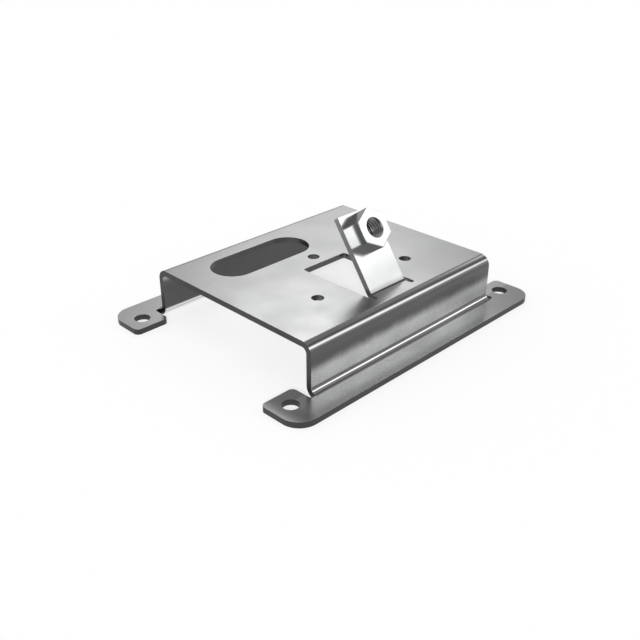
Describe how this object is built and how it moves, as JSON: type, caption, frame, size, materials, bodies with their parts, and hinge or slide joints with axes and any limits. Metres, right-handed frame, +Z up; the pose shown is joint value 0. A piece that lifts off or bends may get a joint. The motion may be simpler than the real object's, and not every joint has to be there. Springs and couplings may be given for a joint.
{
  "type": "lamp bracket",
  "caption": "Folded sheet steel lamp bracket: raised plate on flanged feet, with a cable slot and a bent-up tab that carries a hexagon nut.",
  "frame": {"origin": "middle of the bracket's outline in plan, on the surface that its flanges stand on", "axes": "+X across the folds, towards the side with the tab; +Y along the folds; +Z up, out of the plate's top face"},
  "size_m": [0.0944, 0.1174, 0.043],
  "materials": {
    "sheet": "smooth satin bare steel",
    "nut": "smooth satin bare steel"
  },
  "bodies": {
    "root": {"bracket": "sheet", "weld_nut": "nut"}
  },
  "joints": []
}
